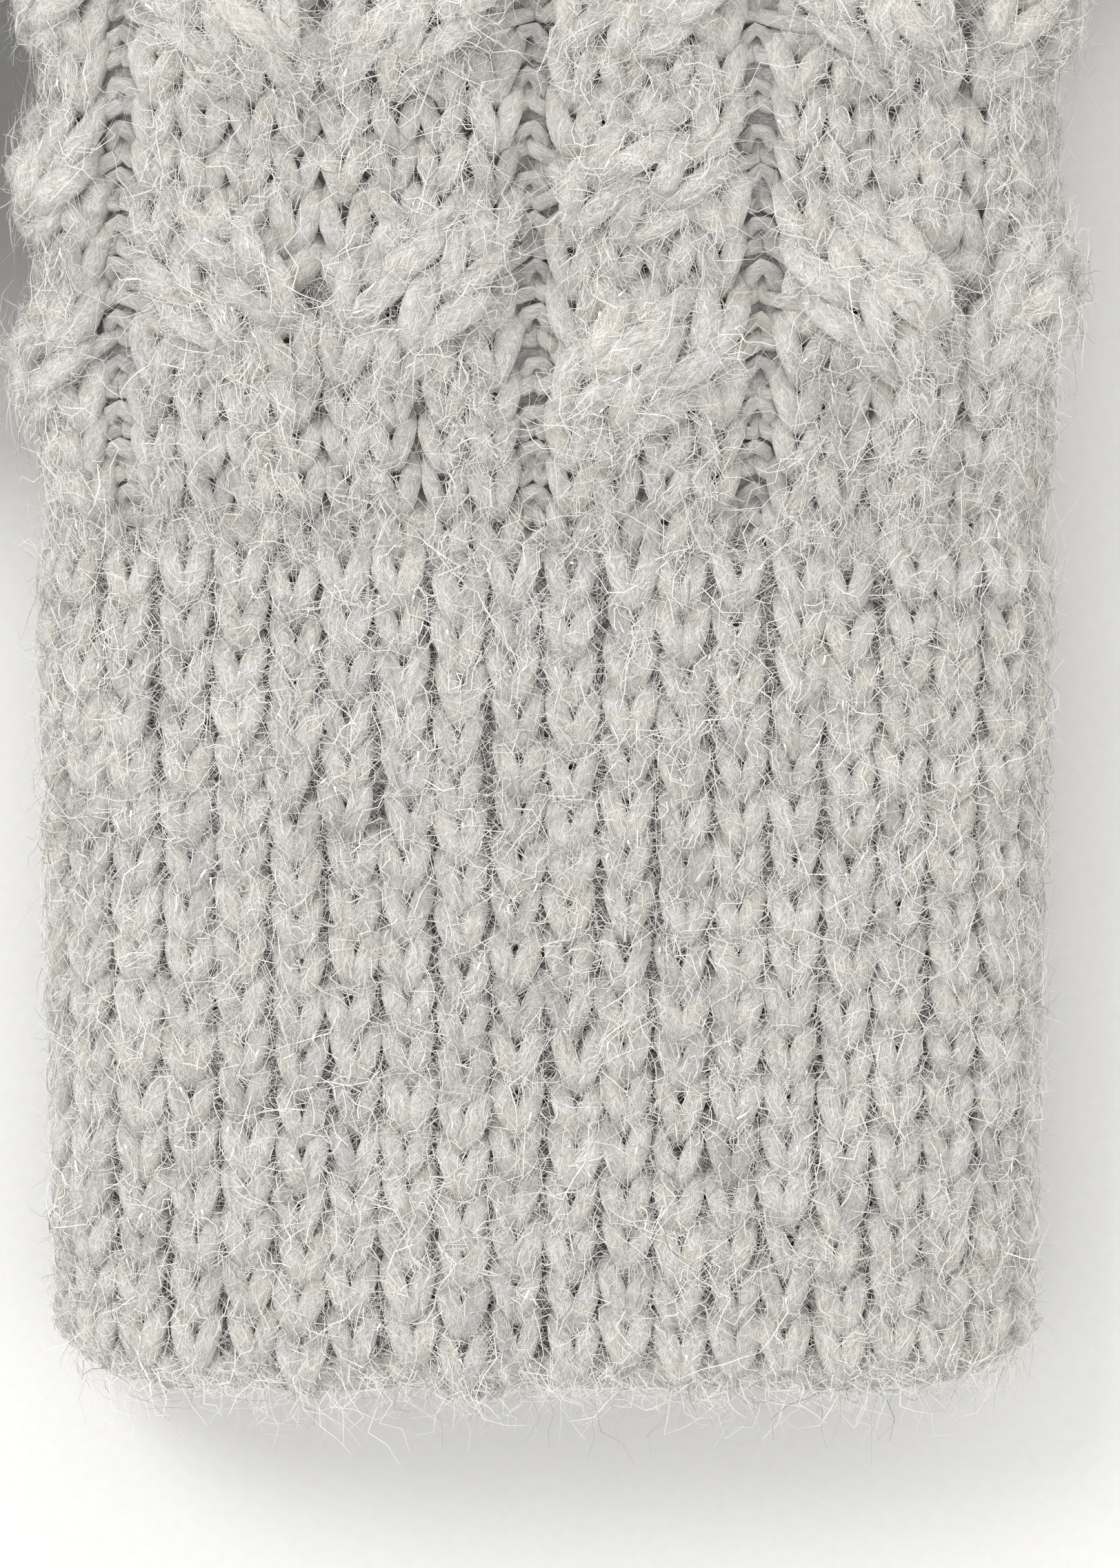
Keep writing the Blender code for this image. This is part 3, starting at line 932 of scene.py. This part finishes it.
def care_label(finish):
    """A blank satin label folded back on itself, its two ends caught in the cuff's lower wall."""
    x0, y0, z0 = LABEL_AT
    fold = np.linspace(-math.pi / 2, math.pi / 2, 9)
    radius, count = LABEL_FOLD, LABEL_POINTS
    reach = np.linspace(0, LABEL_LONG - radius, count)
    y = np.concatenate([reach, LABEL_LONG - radius + radius * np.cos(fold[1:-1]), reach[::-1]]) + y0
    turned = radius + radius * np.sin(fold[1:-1])
    z = np.concatenate([np.zeros(count), turned, np.full(count, 2 * radius)]) + z0
    line = np.stack([y, z], axis=1)
    aside = unit(np.gradient(line, axis=0))[:, ::-1] * [1, -1]
    ring = np.concatenate([line + aside * LABEL_HALF, (line - aside * LABEL_HALF)[::-1]])
    columns, size = LABEL_COLUMNS, len(ring)
    across = np.linspace(0, LABEL_WIDE, columns)
    x = np.repeat(x0 + across, size)
    sway = LABEL_SWAY * np.sin(across * 400)[:, None] * np.sin((ring[:, 0] - y0)[None] * 160)
    points = np.stack([x, np.tile(ring[:, 0], columns), (ring[None, :, 1] + sway).ravel()], axis=1)
    column, at = np.meshgrid(np.arange(columns - 1), np.arange(size), indexing="ij")
    column, at, then = column.ravel(), at.ravel(), (at.ravel() + 1) % size
    faces = [np.stack([column * size + at, column * size + then, (column + 1) * size + then,
                       (column + 1) * size + at], axis=1)]
    half = np.arange(size // 2 - 1)
    for end, flip in ((0, -1), ((columns - 1) * size, 1)):
        cap = np.stack([half, half + 1, size - 2 - half, size - 1 - half], axis=1) + end
        faces.append(cap[:, ::flip])
    faces = np.concatenate(faces)
    uvs = np.stack([points[faces][..., 0] - x0, points[faces][..., 1] - y0], axis=-1) / MM
    builder = Builder()
    builder.add(points, faces, uvs, uvs)
    made = builder.object("right_care_label_satin", "right", [finish])
    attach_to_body(made, "right_cuff")
    return made


# ---- materials


def nodes_for(name):
    made = bpy.data.materials.new(name)
    made.use_nodes = True
    tree = made.node_tree
    shader = tree.nodes["Principled BSDF"]
    return made, tree, shader


def link(tree, source, target):
    tree.links.new(source, target)


def node(tree, kind, **values):
    made = tree.nodes.new(kind)
    for key, value in values.items():
        setattr(made, key, value)
    return made


def uv_mapped(tree, scale, rotation=0.0, layer="yarn"):
    uv = node(tree, "ShaderNodeUVMap", uv_map=layer)
    mapping = node(tree, "ShaderNodeMapping")
    mapping.inputs["Scale"].default_value = scale
    mapping.inputs["Rotation"].default_value = (0, 0, rotation)
    link(tree, uv.outputs["UV"], mapping.inputs["Vector"])
    return mapping.outputs["Vector"]


def noise(tree, vector, scale=1.0, detail=2.0, rough=0.5):
    made = node(tree, "ShaderNodeTexNoise")
    made.inputs["Scale"].default_value = scale
    made.inputs["Detail"].default_value = detail
    made.inputs["Roughness"].default_value = rough
    link(tree, vector, made.inputs["Vector"])
    return made.outputs["Fac"]


def ramp(tree, factor, stops):
    made = node(tree, "ShaderNodeValToRGB")
    elements = made.color_ramp.elements
    elements[0].position, elements[0].color = stops[0][0], (*stops[0][1], 1)
    elements[1].position, elements[1].color = stops[-1][0], (*stops[-1][1], 1)
    for place, colour in stops[1:-1]:
        elements.new(place).color = (*colour, 1)
    link(tree, factor, made.inputs["Fac"])
    return made.outputs["Color"]


def mixed(tree, kind, factor, first, second):
    made = node(tree, "ShaderNodeMix", data_type="RGBA", blend_type=kind)
    made.inputs[0].default_value = factor
    link(tree, first, made.inputs[6])
    link(tree, second, made.inputs[7])
    return made.outputs[2]


def dress(tree, shader, colour, values):
    """Links the base colour and sets the shader's other inputs."""
    link(tree, colour, shader.inputs["Base Color"])
    for name, value in values.items():
        shader.inputs[name].default_value = value


def bumped(tree, shader, height, strength, distance):
    bump = node(tree, "ShaderNodeBump")
    bump.inputs["Strength"].default_value = strength
    bump.inputs["Distance"].default_value = distance
    link(tree, height, bump.inputs["Height"])
    link(tree, bump.outputs["Normal"], shader.inputs["Normal"])


LIGHT_WOOL = (0.95, 0.945, 0.93)
WARM_WOOL = (0.92, 0.895, 0.845)
GREY_WOOL = (0.78, 0.775, 0.76)
DARK_WOOL = (0.30, 0.29, 0.275)
WHITE_WOOL = (0.96, 0.955, 0.94)


def toned(colour, tone):
    return tuple(c * tone for c in colour)


def fibre_lines(tree, angle, across, along):
    """A pattern of fine lines on the yarn at an angle to it, in cycles per millimetre."""
    flat = uv_mapped(tree, (1.0, YARN_ROUND, 1.0), angle)
    stretch = node(tree, "ShaderNodeMapping")
    stretch.inputs["Scale"].default_value = (along, across, 1.0)
    link(tree, flat, stretch.inputs["Vector"])
    return noise(tree, stretch.outputs["Vector"], 1.0, 2.0, 0.6)


def blended(tree, kind, first, second):
    made = node(tree, "ShaderNodeMath", operation=kind)
    link(tree, first, made.inputs[0])
    link(tree, second, made.inputs[1])
    return made.outputs["Value"]


def heathered(tree):
    """The patches of white, grey and beige wool that run through neighbouring stitches."""
    patches = noise(tree, uv_mapped(tree, (0.13, 0.16, 1.0), layer="place"), 1.0, 3.0, 0.65)
    return ramp(tree, patches, [
        (0.34, (0.74, 0.735, 0.72)), (0.43, (0.95, 0.945, 0.935)), (0.49, (1, 1, 1)),
        (0.55, (0.98, 0.95, 0.895)), (0.60, (1, 1, 1)), (0.70, (0.82, 0.81, 0.79)),
    ])


def yarn_material():
    made, tree, shader = nodes_for("mohair_yarn")
    heather = noise(tree, uv_mapped(tree, (0.16, 1.3, 1.0)), 1.0, 3.0, 0.6)
    base = ramp(tree, heather, [
        (0.36, GREY_WOOL),
        (0.45, LIGHT_WOOL),
        (0.52, WARM_WOOL),
        (0.58, LIGHT_WOOL),
        (0.68, WHITE_WOOL),
    ])
    fibres = blended(tree, "MAXIMUM", fibre_lines(tree, 0.15, 7.0, 0.5), fibre_lines(tree, -0.5, 6.0, 0.45))
    fibres = blended(tree, "MAXIMUM", fibres, fibre_lines(tree, 0.75, 6.5, 0.6))
    streak = ramp(tree, fibres, [
        (0.48, (0.76, 0.755, 0.74)), (0.54, (0.94, 0.935, 0.93)), (0.59, (1, 1, 0.995)),
        (0.70, (1, 1, 1)),
    ])
    locks = fibre_lines(tree, 0.25, 2.1, 0.33)
    shade = ramp(tree, locks, [(0.34, (0.86, 0.855, 0.84)), (0.45, (0.98, 0.975, 0.97)), (0.54, (1, 1, 1))])
    colour = mixed(tree, "MULTIPLY", 1.0, mixed(tree, "MULTIPLY", 1.0, base, streak), shade)
    colour = mixed(tree, "MULTIPLY", 1.0, colour, heathered(tree))
    dress(tree, shader, colour, {
        "Roughness": 0.82, "Specular IOR Level": 0.25,
        "Sheen Weight": 0.6, "Sheen Roughness": 0.45,
    })
    bumped(tree, shader, fibres, 1.0, 0.0006)
    return made


def felt_material():
    made, tree, shader = nodes_for("felted_ground")
    fibres = noise(tree, uv_mapped(tree, (2.0, 5.0, 1.0), 0.6), 1.0, 6.0, 0.7)
    # The felt's two darker stops are painted shade: shaded copies of the grey wool, so that the ground seen
    # between the stitches reads dark.
    shadow, half_lit = toned(GREY_WOOL, 0.50), toned(GREY_WOOL, 0.75)
    colour = ramp(tree, fibres, [(0.35, shadow), (0.5, half_lit), (0.65, LIGHT_WOOL)])
    dress(tree, shader, colour, {"Roughness": 0.9, "Specular IOR Level": 0.2})
    bumped(tree, shader, fibres, 0.8, 0.0005)
    return made


def hair_material():
    made, tree, shader = nodes_for("mohair_fuzz")
    tone = noise(tree, uv_mapped(tree, (7.31, 0.35, 1.0)), 1.0, 0.0, 0.5)
    colour = ramp(tree, tone, [
        (0.32, DARK_WOOL), (0.38, (0.46, 0.45, 0.435)), (0.43, (0.70, 0.69, 0.67)), (0.47, LIGHT_WOOL),
        (0.54, WARM_WOOL), (0.58, WHITE_WOOL), (0.75, (0.98, 0.98, 0.97)),
    ])
    colour = mixed(tree, "MULTIPLY", 0.6, colour, heathered(tree))
    dress(tree, shader, colour, {"Roughness": 0.55, "Specular IOR Level": 0.35, "Sheen Weight": 0.2})
    return made


def satin_material():
    made, tree, shader = nodes_for("woven_satin")
    threads = noise(tree, uv_mapped(tree, (16.0, 1.2, 1.0)), 1.0, 2.0, 0.5)
    colour = ramp(tree, threads, [(0.35, (0.74, 0.73, 0.70)), (0.65, (0.90, 0.895, 0.87))])
    dress(tree, shader, colour, {"Roughness": 0.42, "Sheen Weight": 0.3})
    bumped(tree, shader, threads, 0.5, 0.0001)
    return made


def glint_material():
    made, tree, shader = nodes_for("silver_filament")
    tone = noise(tree, uv_mapped(tree, (5.1, 2.0, 1.0)), 1.0, 1.0, 0.5)
    colour = ramp(tree, tone, [(0.3, (0.80, 0.80, 0.78)), (0.7, (0.97, 0.97, 0.96))])
    dress(tree, shader, colour, {"Metallic": 1.0, "Roughness": 0.18})
    return made


def floor_material():
    made, tree, shader = nodes_for("paper_sweep")
    place = node(tree, "ShaderNodeTexCoord")
    grain = noise(tree, place.outputs["Object"], 900.0, 3.0, 0.6)
    colour = ramp(tree, grain, [(0.3, (0.87, 0.868, 0.86)), (0.7, (0.90, 0.898, 0.89))])
    dress(tree, shader, colour, {"Roughness": 0.85, "Specular IOR Level": 0.2})
    return made


# ---- camera, light and floor


FLOOR_SIZE = 8
FLOOR_DROP = 0.0002
ROOM_LIGHT = 0.93
LAMPS = [  # name, place, size, watts
    ("window_light", (-1.1, 0.9, 1.5), 1.0, 16),
    ("fill_light", (0.9, -0.9, 1.6), 1.6, 2),
]
LENS = 296
SENSOR = 36
CAMERA_AT = (CENTRE_X + 0.0014, RIGHT_Y + 0.0553, 1.2)
LAMP_AIM = (CENTRE_X, RIGHT_Y + 0.06, 0)


def stage():
    bpy.ops.mesh.primitive_plane_add(size=FLOOR_SIZE, location=(0, 0, -FLOOR_DROP))
    floor = bpy.context.object
    floor.name = "studio_floor"
    floor.data.materials.append(floor_material())

    world = bpy.data.worlds.new("soft_room")
    world.use_nodes = True
    world.node_tree.nodes["Background"].inputs["Color"].default_value = (1, 0.995, 0.98, 1)
    world.node_tree.nodes["Background"].inputs["Strength"].default_value = ROOM_LIGHT
    bpy.context.scene.world = world

    for name, place, size, power in LAMPS:
        data = bpy.data.lights.new(name, "AREA")
        data.shape = "DISK"
        data.size = size
        data.energy = power
        made = bpy.data.objects.new(name, data)
        made.location = place
        made.rotation_euler = (Vector(LAMP_AIM) - Vector(place)).to_track_quat("-Z", "Y").to_euler()
        bpy.context.scene.collection.objects.link(made)


def camera():
    data = bpy.data.cameras.new("top_camera")
    data.lens = LENS
    data.sensor_width = SENSOR
    data.sensor_height = SENSOR
    data.clip_start = 0.05
    made = bpy.data.objects.new("top_camera", data)
    made.location = CAMERA_AT
    bpy.context.scene.collection.objects.link(made)
    bpy.context.scene.camera = made


# ---- the mittens


STAND_INS = {  # the CAD's soft solids, and the knitted piece that stands in for each
    "hem": ["cast_on_edge", "cuff_rib", "cuff_seam"],
    "palm": ["hand_tube", "thumb_gusset", "hand_seam"],
    "crown": ["finger_pouch", "finger_seam", "crown_gather"],
    "thumb": ["thumb_tube", "thumb_seam", "thumb_gather"],
}


def knitted(body, thumb, rng):
    """Every yarn of one mitten, by zone."""
    rib = rib_rows(body, rng)
    for course in rib:
        course.turn = course.turn / body.perimeter(course.run.mean())
    groups = {name: [] for name in ZONES}
    for course in rib + hand_rows(body, rng) + edge_rows() + gather_rows(body):
        groups[zone_of(course.run.mean())].append(course)
    ends = [SEAM_START, *ZONES.values()]
    for name, start, end in zip(ZONES, ends, ends[1:]):
        groups[name] += seam_rows(start, min(end, LENGTH - SEAM_STOP))
    groups["thumb"] = plain_rows(thumb, rng, ROW, THUMB_START, THUMB_BASE) + gather_rows(thumb)
    groups["thumb"] += seam_rows(THUMB_SEAM[0], thumb.length - THUMB_SEAM[1])
    return groups


def knit_mitten(side, finishes, seed):
    rng = np.random.default_rng(seed)
    body, thumb = body_surface(), thumb_surface()
    groups = knitted(body, thumb, rng)
    total = sum(len(c.turn) for zone in groups.values() for c in zone)
    starts = dict(zip(ZONES, [FELT_START, *ZONES.values()])) | {"thumb": THUMB_FELT_START}
    pieces = {}

    def finished(builder, zone, kind, materials):
        made = builder.object(f"{side}_{zone}_{kind}", side, materials)
        attach(made, side, zone)
        return made

    for zone, courses in groups.items():
        surface = thumb if zone == "thumb" else body
        builder = Builder()
        for index, course in enumerate(courses):
            builder.add_tube(surface, course, index * YARN_SHIFT)
        pieces[zone] = finished(builder, zone, "knit", [finishes["yarn"]])
        builder = Builder()
        level = FELT_RISE.get(zone, HAND_FELT_RISE)
        end = min(ZONES.get(zone, TIP), surface.length - FELT_STOP)
        felt(builder, surface, starts[zone], end, level, rng)
        finished(builder, zone, "ground", [finishes["felt"]])
        share = sum(len(c.turn) for c in courses) / total
        least = THUMB_FUZZ_RISE if zone == "thumb" else BODY_FUZZ_RISE
        fuzz = hairs(surface, courses, int(HAIRS_PER_MITTEN * share), rng, least)
        shiny = glints(surface, courses, int(GLINTS_PER_MITTEN * share), rng, least)
        under = ~fuzz.upper & (rng.uniform(0, 1, len(fuzz.upper)) < UNDER_SHARE)
        layers = (("fuzz_top", fuzz.upper, shiny.upper), ("fuzz_under", under, ~shiny.upper))
        for kind, some, bright in layers:
            builder = Builder()
            add_ribbons(builder, fuzz.chosen(some))
            add_ribbons(builder, shiny.chosen(bright), 1)
            finished(builder, zone, kind, [finishes["hair"], finishes["glint"]])
    for zone, nodes in STAND_INS.items():
        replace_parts(pieces[zone], *[f"{side}_{name}" for name in nodes])


SEEDS = {"right": 11, "left": 23}

bpy.context.scene.view_settings.view_transform = "Standard"
camera()
stage()
finishes = {
    "yarn": yarn_material(),
    "felt": felt_material(),
    "hair": hair_material(),
    "glint": glint_material(),
}

for side, seed in SEEDS.items():
    knit_mitten(side, finishes, seed)
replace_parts(care_label(satin_material()), "right_care_label")
